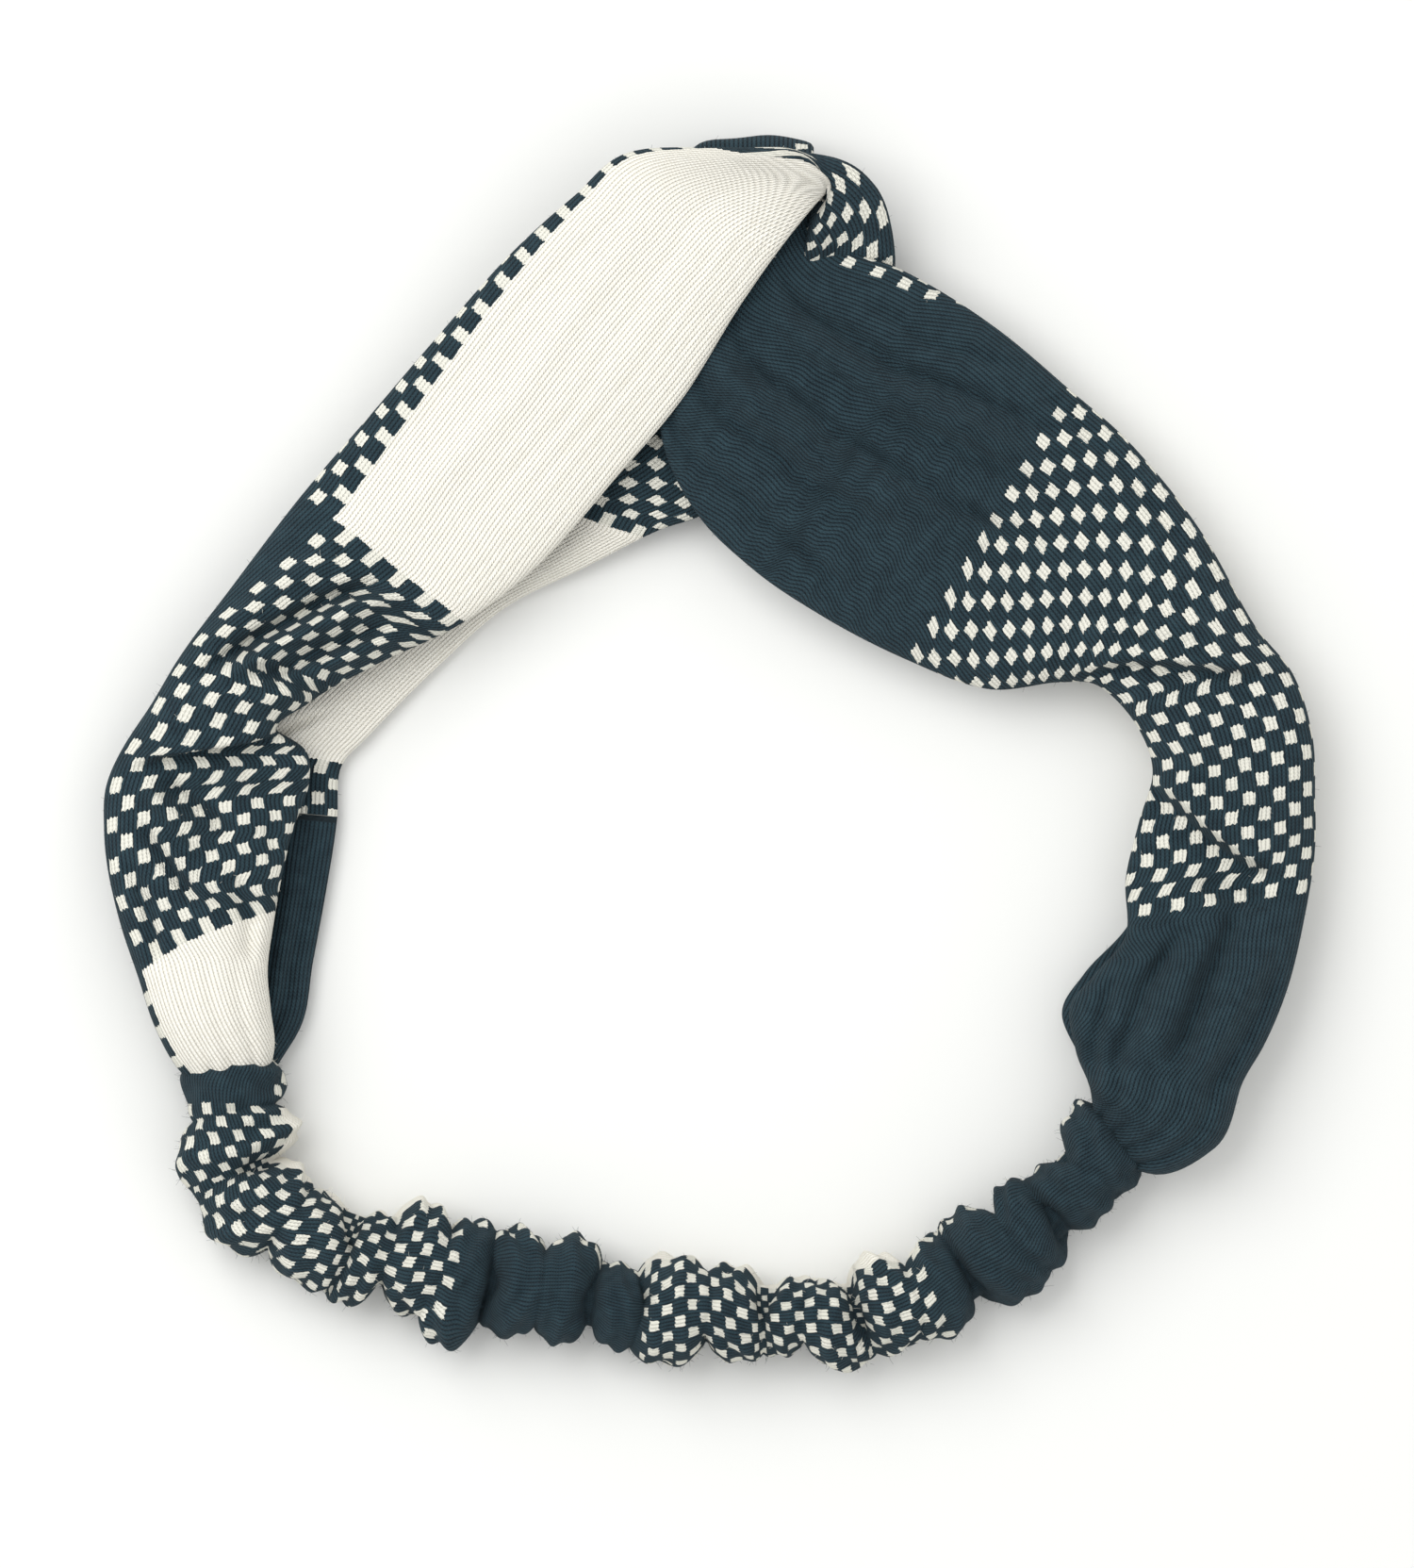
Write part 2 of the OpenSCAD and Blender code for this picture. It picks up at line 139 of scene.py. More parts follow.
class Strap:
    """A flattened tube through a strap's sections. upward is 1 or -1, the sign that turns out the upper face.
    Places on it are s, millimetres along, w, from 1 at the outer edge to -1, and v, millimetres from that edge."""

    def __init__(self, rows, upward, hem=None):
        self.hem = hem      # where along the strap hem lines run beside its inner edge
        rows = np.array(rows, float)
        middle = np.column_stack([(rows[:, 0] + rows[:, 2]) / 2, (rows[:, 1] + rows[:, 3]) / 2, rows[:, 4]])
        self.knots = lengths(middle)
        self.s = np.linspace(0, self.knots[-1], int(self.knots[-1] / STEP) + 1)
        r = spline(rows, self.knots, self.s)
        outer, inner = (np.column_stack([r[:, k], r[:, k + 1], r[:, 4]]) for k in (0, 2))
        self.centre = (outer + inner) / 2
        self.side = unit(outer - inner)
        self.half = np.linalg.norm(outer - inner, axis=1) / 2
        self.thick = r[:, 5]
        self.out = unit(np.cross(np.gradient(self.centre, axis=0), self.side)) * upward

        # the section: w across, 1 at the outer edge and -1 at the inner edge, and h up, above then beneath
        edge = np.sin(np.linspace(math.pi / 2, -math.pi / 2, ACROSS))
        crown = np.sqrt(np.clip(1 - np.abs(edge) ** 3, 0, 1))
        self.w = np.concatenate([edge, -edge[1:-1]])
        self.h = np.concatenate([crown, -crown[1:-1]])
        self.face = np.where(self.h >= 0, 1, -1)     # 1 above, -1 beneath

    def points(self):
        return (self.centre[:, None] + self.side[:, None] * (self.w[None, :, None] * self.half[:, None, None])
                + self.out[:, None] * (self.h[None, :, None] * self.thick[:, None, None] / 2))

    def grid(self):
        """s, w and v for every point."""
        s, w = np.meshgrid(self.s, self.w, indexing="ij")
        return s, w, (1 - w) * self.half[:, None]


def tube_mesh(name, points, along, across, fabric):
    """A closed mesh from rings of points, in millimetres from the knot, with the UV map 'cloth' in metres.
    across is given for each ring edge's two ends, so that the cloth may start again at a strap's inner edge."""
    n, m = points.shape[:2]
    verts = (points.reshape(-1, 3) * MM) + np.array([knot[0], knot[1], 0])
    faces = [(r * m + i, r * m + (i + 1) % m, (r + 1) * m + (i + 1) % m, (r + 1) * m + i)
             for r in range(n - 1) for i in range(m)]
    mesh = bpy.data.meshes.new(name)
    caps = [tuple(range(m))[::-1], tuple((n - 1) * m + i for i in range(m))]
    mesh.from_pydata(verts.tolist(), [], faces + caps)
    uv = mesh.uv_layers.new(name="cloth")
    corners = np.zeros((len(mesh.loops), 2), np.float32)
    r, i = np.meshgrid(np.arange(n - 1), np.arange(m), indexing="ij")
    j = (i + 1) % m
    rings = np.stack([r, r, r + 1, r + 1], -1)
    places = np.stack([i, j, j, i], -1)
    ends = np.stack([np.zeros_like(i), np.ones_like(i), np.ones_like(i), np.zeros_like(i)], -1)
    body = 4 * (n - 1) * m
    corners[:body, 0] = (along[rings, places] * MM).reshape(-1)
    corners[:body, 1] = (across[rings, np.broadcast_to(i[..., None], places.shape), ends] * MM).reshape(-1)
    uv.data.foreach_set("uv", corners.reshape(-1))
    work = bmesh.new()
    work.from_mesh(mesh)
    bmesh.ops.recalc_face_normals(work, faces=work.faces)
    work.to_mesh(mesh)
    work.free()
    for polygon in mesh.polygons:
        polygon.use_smooth = True
    obj = bpy.data.objects.new(name, mesh)
    bpy.context.scene.collection.objects.link(obj)
    mesh.materials.append(fabric)
    return obj


# ---------------------------------------------------------------------------------------------
# Folds: each is half-width, height, then the (s, v) points of a line on a strap's upper face. Two widths make it
# a ledge, which stands up on the line's left and drops on its right over those widths.
# ---------------------------------------------------------------------------------------------
def fold_height(s, v, folds):
    """How far the folds lift the cloth at each s and v."""
    height = np.zeros_like(s)
    for reach, rise, *line in folds:
        line = np.array(line, float)
        run = lengths(line)
        away, place, side = np.full_like(s, 1e9), np.zeros_like(s), np.zeros_like(s)
        for k in range(len(line) - 1):
            step = line[k + 1] - line[k]
            size = np.hypot(*step)
            t = np.clip(((s - line[k, 0]) * step[0] + (v - line[k, 1]) * step[1]) / size ** 2, 0, 1)
            d = np.hypot(s - line[k, 0] - t * step[0], v - line[k, 1] - t * step[1])
            nearer = d < away
            place = np.where(nearer, run[k] + t * size, place)
            side = np.where(nearer, (step[0] * (v - line[k, 1]) - step[1] * (s - line[k, 0])) / size, side)
            away = np.minimum(away, d)
        fade = ease(place / (0.3 * run[-1]) + 0.15) * ease((run[-1] - place) / (0.3 * run[-1]) + 0.15)
        if isinstance(reach, tuple):
            away = np.where(side > 0, side / reach[0], -side / reach[1])
            height += rise * fade * np.where(side > 0, 1, -1) * np.exp(-away) * (1 - np.exp(-(side / 0.5) ** 2))
        else:
            height += rise * fade * np.exp(-((away / reach) ** 2))
    return height


def gathers(s, w, end, reach, count, rise, phase):
    """Pleats that run into a gathered end and fade out along the strap."""
    near = np.exp(-(np.abs(s - end) / reach) ** 1.5)
    wander = 0.5 * np.sin(0.09 * s + phase) + 0.35 * np.sin(0.23 * s + 2 * phase)
    return rise * near * (np.abs(np.sin(count * w + phase + wander)) - 0.6)


def shape_strap(strap, folds, ends):
    """A strap's points with its folds, its gathered ends and its hem lines."""
    s, w, v = strap.grid()
    body = 1 - np.abs(w) ** 6
    lift = fold_height(s, v, folds) * (strap.face[None, :] > 0)
    for end, reach, count, rise, phase in ends:
        lift += gathers(s, w, end, reach, count, rise, phase)
    if strap.hem:
        inner = 2 * strap.half[:, None] - v
        near = ease((s - strap.hem[0]) / 12) * ease((strap.hem[1] - s) / 12) * (strap.face[None, :] > 0)
        for at in HEM_LINES:
            lift -= HEM_DEPTH * near * np.exp(-(((inner - at) / 0.5) ** 2))
    # slow unevenness of cloth that nothing holds flat
    lift += 0.35 * np.sin(0.11 * s + 2.1 * w) * np.sin(0.05 * s - 3.3 * w + 1)
    push = strap.out[:, None] * (strap.face[None, :] * lift * body)[..., None]
    points = strap.points() + push
    points[..., 2] = np.maximum(points[..., 2], CLOTH_LIFT)
    return points


# ---------------------------------------------------------------------------------------------
# Materials
# ---------------------------------------------------------------------------------------------
class Num:
    """A number in a shader tree, written as ordinary arithmetic."""

    def __init__(self, socket):
        self.socket = socket

    def op(self, kind, *others):
        tree = self.socket.node.id_data
        node = tree.nodes.new("ShaderNodeMath")
        node.operation = kind
        for slot, value in zip(node.inputs, (self, *others)):
            if isinstance(value, Num):
                tree.links.new(value.socket, slot)
            else:
                slot.default_value = value
        return Num(node.outputs[0])

    def __add__(self, other): return self.op("ADD", other)
    def __sub__(self, other): return self.op("SUBTRACT", other)
    def __mul__(self, other): return self.op("MULTIPLY", other)
    def __truediv__(self, other): return self.op("DIVIDE", other)
    def __mod__(self, other): return self.op("FLOORED_MODULO", other)
    def __gt__(self, other): return self.op("GREATER_THAN", other)
    def __lt__(self, other): return self.op("LESS_THAN", other)
    def clamped(self): return self.op("MINIMUM", 1.0).op("MAXIMUM", 0.0)
    def flipped(self): return (self * -1.0) + 1.0


def in_bands(place, bands):
    """1 where place, a whole number of cells, lies in one of the bands (first, last), and not at last."""
    total = None
    for first, last in bands:
        inside = (place > first - 0.5) * (place < last - 0.5)
        total = inside if total is None else total + inside
    return total


def light_yarn(along, across, weft, warp):
    """The jacquard: light where both bands are light, check where one is, dark where none is.
    Returns what is wholly light, and that with the check's light squares."""
    i, j = along.op("FLOOR"), across.op("FLOOR")
    light_weft, light_warp = in_bands(i, weft), in_bands(j, warp)
    even = ((i + j) % 2.0) < 0.5
    both = light_weft * light_warp
    one = (light_weft - light_warp).op("ABSOLUTE")
    return both, both + one * even


def noise(tree, vector, scale, detail, roughness):
    """Procedural noise from 0 to 1."""
    node = tree.nodes.new("ShaderNodeTexNoise")
    node.inputs["Scale"].default_value = scale
    node.inputs["Detail"].default_value = detail
    node.inputs["Roughness"].default_value = roughness
    tree.links.new(vector, node.inputs["Vector"])
    return Num(node.outputs["Fac"])


def mixed(tree, factor, a, b):
    """A colour between a and b, each a colour or a socket."""
    node = tree.nodes.new("ShaderNodeMix")
    node.data_type = "RGBA"
    tree.links.new(factor.socket, node.inputs["Factor"])
    for slot, value in ((node.inputs[6], a), (node.inputs[7], b)):
        if isinstance(value, tuple):
            slot.default_value = (*value, 1)
        else:
            tree.links.new(value, slot)
    return node.outputs[2]


# Yarn colours. The lighter navy is navy painted on the stitches' tops as a painted highlight, and on random lighter
# mottle; the darker cream is cream painted in the grooves between stitches as a painted shade.
NAVY, NAVY_WORN_AND_LIT = (0.006, 0.013, 0.019), (0.036, 0.073, 0.092)
CREAM, CREAM_SHADE = (0.94, 0.92, 0.84), (0.76, 0.71, 0.58)
SQUARE = (0.80, 0.79, 0.70)


def knit(name, weft, warp):
    """Jacquard knit. weft and warp are the light bands along and across the cloth, in cells of the check."""
    material = bpy.data.materials.new(name)
    material.use_nodes = True
    tree = material.node_tree
    shader = tree.nodes["Principled BSDF"]
    cloth = tree.nodes.new("ShaderNodeUVMap")
    cloth.uv_map = "cloth"
    split = tree.nodes.new("ShaderNodeSeparateXYZ")
    tree.links.new(cloth.outputs["UV"], split.inputs[0])
    place = tree.nodes.new("ShaderNodeTexCoord").outputs["Object"]
    along, across = Num(split.outputs["X"]) / MM, Num(split.outputs["Y"]) / MM

    # stitches: columns of Vs, with a groove between columns
    column = ((across / WALE).op("FRACT") - 0.5).op("ABSOLUTE")
    wale = (column * 2.0).op("POWER", 3.0).flipped()
    row = ((along / COURSE + column * 1.6) * (2 * math.pi)).op("SINE")
    ragged = (noise(tree, place, 900, 2, 0.6) - 0.5) * 0.9
    stitched = along + column * 0.5 + ragged
    sideways = across + ragged * 0.6

    # light only where the yarn a margin away on every side is light too
    both, light = None, None
    for du, dv in ((-1, -1), (-1, 1), (1, -1), (1, 1)):
        found = light_yarn((stitched + du * CHECK_MARGIN) / CHECK, (sideways + dv * CHECK_MARGIN) / CHECK, weft, warp)
        both, light = found if both is None else (both.op("MINIMUM", found[0]), light.op("MINIMUM", found[1]))

    mottle = noise(tree, place, 420, 4, 0.65)
    fine = noise(tree, place, 2600, 3, 0.7)
    relief = wale * 0.75 + row * 0.16 + fine * 0.4
    # colour follows the stitches' relief as well as the bump: painted shade in the grooves between columns and rows,
    # painted highlight on the stitches' tops, over a random mottle
    dark = mixed(tree, (mottle * 0.8 + relief * 0.9 - 0.68).clamped(), NAVY, NAVY_WORN_AND_LIT)
    pale = mixed(tree, (mottle * 0.3 + relief * 0.8).clamped(), CREAM_SHADE, CREAM)
    square = mixed(tree, both, SQUARE, pale)
    tree.links.new(mixed(tree, light, dark, square), shader.inputs["Base Color"])
    tree.links.new((fine * 0.25 + 0.7).socket, shader.inputs["Roughness"])
    shader.inputs["Sheen Weight"].default_value = 0.03
    shader.inputs["Sheen Roughness"].default_value = 0.6
    shader.inputs["Specular IOR Level"].default_value = 0.12

    bump = tree.nodes.new("ShaderNodeBump")
    bump.inputs["Strength"].default_value = 0.9
    bump.inputs["Distance"].default_value = 0.4 * MM
    tree.links.new((relief + light * 0.15).socket, bump.inputs["Height"])
    tree.links.new(bump.outputs["Normal"], shader.inputs["Normal"])
    return material


# ---------------------------------------------------------------------------------------------
# Straps
# ---------------------------------------------------------------------------------------------
LEFT_FOLDS = [
    # the corner: the lower part goes in under the upper part
    ((4, 6), 2.6, (67, 27), (63, 19), (60, 11), (56, 2)), (2.6, 1.6, (74, 22), (70, 13), (66, 5)),
    # drawn folds that run from the corner up the strap
    (1.2, -3.4, (70, 4), (79, 8), (90, 13), (99, 19)), (1.5, 3.0, (70, 8), (80, 12), (92, 18), (100, 24)),
    (1.2, -2.2, (72, 13), (83, 18), (94, 24)), (1.4, 1.8, (76, 18), (86, 23), (94, 27)),
    (1.2, -1.5, (78, 23), (86, 27)), (1.8, 1.6, (74, 2), (86, 5), (99, 10)),
    # small wrinkles below the corner
    (1.1, -2.4, (55, 8), (50, 14), (45, 21)), (1.2, 2.0, (53, 6), (47, 12), (42, 17)),
    (1.0, -2.0, (48, 5), (42, 9), (34, 13)), (1.3, 1.8, (57, 17), (52, 22), (46, 27)),
    (1.1, -1.8, (42, 3), (34, 5), (24, 4)), (1.2, -1.8, (40, 19), (32, 21), (24, 18)),
    (1.0, 1.2, (46, 8), (40, 12), (33, 17)), (1.0, -1.4, (52, 22), (47, 26), (40, 28)),
    # long soft folds on the plain stretch
    (0.8, -0.4, (104, 6), (135, 7), (178, 7)), (0.8, -0.4, (108, 22), (140, 24), (185, 14)),
    (2.5, 0.8, (104, 14), (135, 16), (175, 11)), (0.8, -0.35, (120, 27), (150, 28), (180, 20)),
    # the lower leg
    (1.2, -1.4, (288, 10), (310, 14), (335, 22)), (1.6, 1.2, (286, 16), (310, 20), (332, 27)),
    (1.0, -1.2, (325, 8), (336, 14), (344, 24)), (1.0, -0.9, (350, 8), (370, 7), (392, 9)),
    (1.0, -0.9, (350, 3.5), (370, 3), (392, 5))]
RIGHT_FOLDS = [
    # pleats that fan out of the knot
    (0.9, -2.4, (178, 9), (163, 13), (148, 14), (118, 6)), (1.8, 2.6, (174, 14), (163, 17.5), (148, 19), (118, 12)),
    (0.8, -2.4, (178, 20), (164, 25), (150, 28), (128, 26), (108, 20)),
    (1.8, 2.6, (176, 25), (160, 31), (146, 33), (124, 31)), (1.2, -2.6, (178, 35), (164, 42), (150, 46), (134, 48)),
    (1.0, -1.6, (178, 29), (164, 34), (150, 37), (132, 37)), (0.9, -1.2, (160, 7), (146, 8), (130, 3)),
    (0.9, -1.3, (150, 23), (136, 20), (110, 13)), (1.6, 1.3, (172, 38), (158, 44), (142, 48)),
    (0.9, -1.0, (176, 15), (160, 20), (138, 20)), (0.9, -1.0, (150, 33), (132, 32), (112, 27)),
    # the two creases at the corner
    ((6, 5), 2.2, (93, 29), (86, 18), (80, 8), (77, 2)), (1.6, 1.2, (99, 26), (91, 14), (84, 4)),
    ((7, 8), 2.6, (68, 29), (58, 20), (50, 12), (45, 4)), (1.8, 1.6, (73, 22), (64, 14), (56, 6)),
    (1.4, -1.8, (48, 20), (44, 12), (41, 5)),
    # the rolled edges beside the check
    (1.0, -1.4, (128, 3), (112, 4), (94, 4)), (1.0, -1.4, (120, 48), (108, 44), (98, 38)),
    # broad folds that run down into the gathered end
    (1.6, -2.4, (44, 11), (30, 13), (14, 12)), (1.4, -2.2, (40, 20), (28, 22), (12, 20)),
    (2.0, 1.8, (38, 5), (26, 7), (12, 8)), (1.2, -1.9, (30, 28), (20, 26), (10, 22)),
    (1.2, -1.5, (34, 2), (24, 3), (12, 4)), (1.8, 1.4, (40, 15), (28, 17), (14, 16))]

left = Strap(LEFT_STRAP, 1, (98, 186))
right = Strap(RIGHT_STRAP, -1)


def cloth_v(strap, points, shifts):
    """Cloth places across the strap, measured over the cloth's own surface from the outer edge: positive above,
    negative beneath. They're moved sideways by shifts, [s, millimetres]."""
    marks = np.array(shifts, float)
    shift = np.interp(strap.s, marks[:, 0], marks[:, 1])[:, None]
    hops = np.linalg.norm(np.roll(points, -1, axis=1) - points, axis=2)
    over = np.concatenate([np.zeros((len(points), 1)), np.cumsum(hops, axis=1)], axis=1)
    under = over - over[:, -1:]
    above = np.arange(len(strap.w)) < ACROSS - 1
    low, high = (np.where(above[None, :], over[:, k:k + len(strap.w)], under[:, k:k + len(strap.w)]) for k in (0, 1))
    return np.stack([low + shift, high + shift], -1)


def cloth_u(strap, slants):
    """Cloth places along the strap: s, slanted by slants, [s, millimetres at the outer edge]."""
    s, w, _ = strap.grid()
    marks = np.array(slants, float)
    return s + w * np.interp(strap.s, marks[:, 0], marks[:, 1])[:, None]


# gathered ends: place, reach along the strap, pleats, height and phase
left_points = shape_strap(left, LEFT_FOLDS, [(0, 20, 7, 1.0, 0.4), (left.s[-1], 22, 6, 0.6, 1.9)])
right_points = shape_strap(right, RIGHT_FOLDS, [(0, 24, 8, 1.1, 0.9), (right.s[-1], 26, 6, 0.6, 0.2)])
left_knit = knit("left_knit", [(-4, 11), (38, 73), (102, 126), (147, 170)], [(0, 26)])
right_knit = knit("right_knit", [(16, 46)], [(-9, 1)])
# [s, millimetres] by which the knit slants, and by which it moves sideways. It steps at the left strap's seam.
LEFT_SLANTS = [(0, 3), (22, 5.5), (40, 4), (60, 0), (176, 0), (191, 6), (203, 3), (212, 0), (404, 0)]
LEFT_SHIFTS = [
    (0, -4), (28, -3), (36, -1), (76, -1.5), (82, -3), (90, -5), (96, -6.5), (103, -7.5), (117, -6), (135, -5),
    (152, -3.6), (167, -2), (190, -1), (268, 0), (274, 3), (346, 3), (346.8, -40), (404, -40)]
RIGHT_SHIFTS = [(0, 4), (140, 4), (152, -1), (401, -1)]
left_strap = tube_mesh("left_strap_cloth", left_points, cloth_u(left, LEFT_SLANTS),
                       cloth_v(left, left_points, LEFT_SHIFTS), left_knit)
right_strap = tube_mesh("right_strap_cloth", right_points, right.grid()[0],
                        cloth_v(right, right_points, RIGHT_SHIFTS), right_knit)

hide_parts("left_strap")
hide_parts("right_strap")

# ---------------------------------------------------------------------------------------------
# Casing: rounded folds pushed together on the elastic. Each is its middle along the casing, its length, how far it
# reaches to the ring's inside, outside and top, and how far its top and its outer side lean along the casing.
# ---------------------------------------------------------------------------------------------
RUFFLES = [
    (3, 13, 8.4, 7.8, 7.8, 1.0, 0.0), (14, 11, 10.6, 9.6, 7.4, -1.2, 1.5), (24, 11.5, 7.6, 10.2, 8.0, 0.8, -1.0),
    (33.5, 12, 6.4, 8.8, 8.4, -1.0, 1.6), (42, 7.5, 6.4, 9.4, 7.0, 1.5, -1.5), (50, 10, 10.4, 8.4, 8.0, 0.8, 0.6),
    (58, 9, 8.8, 12.0, 7.6, -1.0, -0.6), (66, 9, 8.8, 8.6, 8.2, 1.4, 0.0), (74, 9, 9.2, 8.6, 7.4, -0.8, -0.4),
    (82.5, 8, 6.0, 7.4, 6.8, 0.8, 1.2), (91.5, 11.5, 8.8, 8.8, 8.6, 0.6, -0.4),
    (101.5, 10, 8.0, 7.4, 7.8, -1.4, 0.8), (109.5, 7.5, 6.0, 6.6, 7.0, 1.0, -1.4),
    (116.5, 9, 5.6, 8.8, 8.0, -1.0, 1.8), (125.5, 10, 8.6, 7.6, 8.2, 1.2, 0.2),
    (134.5, 10, 7.6, 8.2, 7.6, -0.8, -1.6), (143.5, 9.5, 9.0, 8.6, 8.4, 1.5, 1.4),
    (151.5, 8.5, 8.2, 8.0, 7.6, -1.4, -1.2), (159.5, 9.5, 6.2, 6.8, 8.2, 1.2, 1.4),
    (168.5, 10, 8.6, 6.8, 7.8, -1.0, -1.4), (177.5, 11, 12.4, 9.4, 9.0, 0.6, 0.4)]
CASING_SIDES = 120
CASING_STEP = 0.2       # spacing of the casing's sections
CASING_MIDDLE = 7.2     # height of the casing's middle
CASING_UNDER = 7.0      # how far its folds reach below that
CASING_WAIST = 0.38     # how deep the gaps between folds go, as a share of the folds' reach
CASING_GATHER = 1.12    # length of the cloth, with its small creases, as a share of the line over the folds
CASING_ROUND = 9.6      # cloth round the casing for each radian, in millimetres

route = np.array(CASING_ROUTE, float)
route_knots = lengths(route)
casing_s = np.linspace(0, route_knots[-1], int(route_knots[-1] / CASING_STEP))
casing_line = spline(route, route_knots, casing_s)
casing_dir = unit(np.gradient(casing_line, axis=0))
casing_side = np.column_stack([casing_dir[:, 1], -casing_dir[:, 0]])    # towards the outside of the ring


def beside_casing(at):
    """The casing's middle line at places along it, and the direction to the ring's outside."""
    return (np.column_stack([np.interp(at, casing_s, values[:, k]) for k in (0, 1)])
            for values in (casing_line, casing_side))


def casing_surface(s, a):
    """How far the casing reaches from its middle line at s, at the angle a: 0 outside, a quarter turn on top."""
    outside, top = np.cos(a), np.sin(a)
    reach = np.zeros_like(s)
    for k, (middle, length, inner, outer, high, top_lean, side_lean) in enumerate(RUFFLES):
        centre = (middle + top_lean * top + side_lean * outside
                  + 0.5 * np.sin(2 * a + 1.7 * k) + 0.25 * np.sin(3 * a - 2.3 * k))
        x = (s - centre) / (0.5 * length * (1.06 + 0.06 * np.sin(2 * a + 2.1 * k)))
        share = np.clip(1 - np.abs(x) ** 2.6, 0, 1) ** 0.5
        side_reach = np.where(outside > 0, outer, inner)
        full = 1 / np.sqrt((outside / side_reach) ** 2 + (top / np.where(top > 0, high, CASING_UNDER)) ** 2)
        # small creases that run round each fold
        full = full * (1 + 0.06 * np.sin(7 * x + 2.5 * np.sin(2 * a + k)) * np.clip(1.2 - np.abs(x), 0, 1))
        reach = np.maximum(reach, full * (CASING_WAIST + (1 - CASING_WAIST) * share))
    return (reach + 0.18 * np.sin(6 * a + 0.8 * s) * np.sin(0.5 * s + 2 * a)
            + 0.1 * np.sin(11 * a - 0.9 * s + 1) * np.sin(0.6 * s))


angle = np.linspace(0, 2 * math.pi, CASING_SIDES, endpoint=False)
s, a = np.meshgrid(casing_s, angle, indexing="ij")
reach = casing_surface(s, a)
for end_s in (0, casing_s[-1]):     # the ends draw in to the necks
    reach = reach * (0.55 + 0.45 * ease((np.abs(casing_s - end_s) + 1.5) / 3.5))[:, None]
casing_points = np.zeros(s.shape + (3,))
casing_points[..., :2] = casing_line[:, None] + casing_side[:, None] * (np.cos(a) * reach)[..., None]
casing_points[..., 2] = np.maximum(CASING_MIDDLE + np.sin(a) * reach, CLOTH_LIFT)
cloth_along = CASING_GATHER * lengths(np.column_stack([casing_s, reach[:, CASING_SIDES // 4]]))


def cells(*zones):
    """Bands of the check, from places along the casing."""
    return [tuple(round(float(np.interp(at, casing_s, cloth_along)) / CHECK) for at in zone) for zone in zones]


casing_u = np.repeat(cloth_along[:, None], CASING_SIDES, axis=1) + 1.5 * np.sin(a + 0.05 * s)
turn = np.append(angle, 2 * math.pi) * CASING_ROUND
turn = turn[None, :] + (1.5 * np.sin(0.11 * casing_s) + 1.0 * np.sin(0.31 * casing_s))[:, None]
casing_v = np.stack([turn[:, :-1], turn[:, 1:]], -1)
casing_knit = knit("casing_knit", cells((8, 55), (87, 135), (175, 196)), [(10, 15)])
casing = tube_mesh("casing_cloth", casing_points, casing_u, casing_v, casing_knit)
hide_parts("elastic_casing")
casing_ends = [(*(knot[:2] + casing_line[i] * MM), CASING_MIDDLE * MM) for i in (0, -1)]


# ---------------------------------------------------------------------------------------------
# Elastic, sewing threads and loose fibres
# ---------------------------------------------------------------------------------------------
def plain(name, colour, roughness, ribs):
    """A thread or tape: one colour, twisted or ribbed by a fine wave, painted darker in the wave's grooves as painted
    shade, with uneven wear.
    """
    material = bpy.data.materials.new(name)
    material.use_nodes = True
    tree = material.node_tree
    shader = tree.nodes["Principled BSDF"]
    place = tree.nodes.new("ShaderNodeTexCoord").outputs["Object"]
    wave = tree.nodes.new("ShaderNodeTexWave")
    wave.inputs["Scale"].default_value = ribs
    wave.inputs["Distortion"].default_value = 1.5
    tree.links.new(place, wave.inputs["Vector"])
    speck = noise(tree, place, 1500, 3, 0.6)
    shade = tuple(0.7 * c for c in colour)
    # painted shade: the colour darkens in the grooves of the twist or ribs, where the bump dips; the speckle is
    # uneven wear
    rib_shade_and_wear = Num(wave.outputs["Fac"]) * 0.5 + speck * 0.5
    tree.links.new(mixed(tree, rib_shade_and_wear, shade, colour), shader.inputs["Base Color"])
    tree.links.new((speck * 0.2 + roughness).socket, shader.inputs["Roughness"])
    bump = tree.nodes.new("ShaderNodeBump")
    bump.inputs["Strength"].default_value = 0.5
    bump.inputs["Distance"].default_value = 0.15 * MM
    tree.links.new(wave.outputs["Fac"], bump.inputs["Height"])
    tree.links.new(bump.outputs["Normal"], shader.inputs["Normal"])
    return material


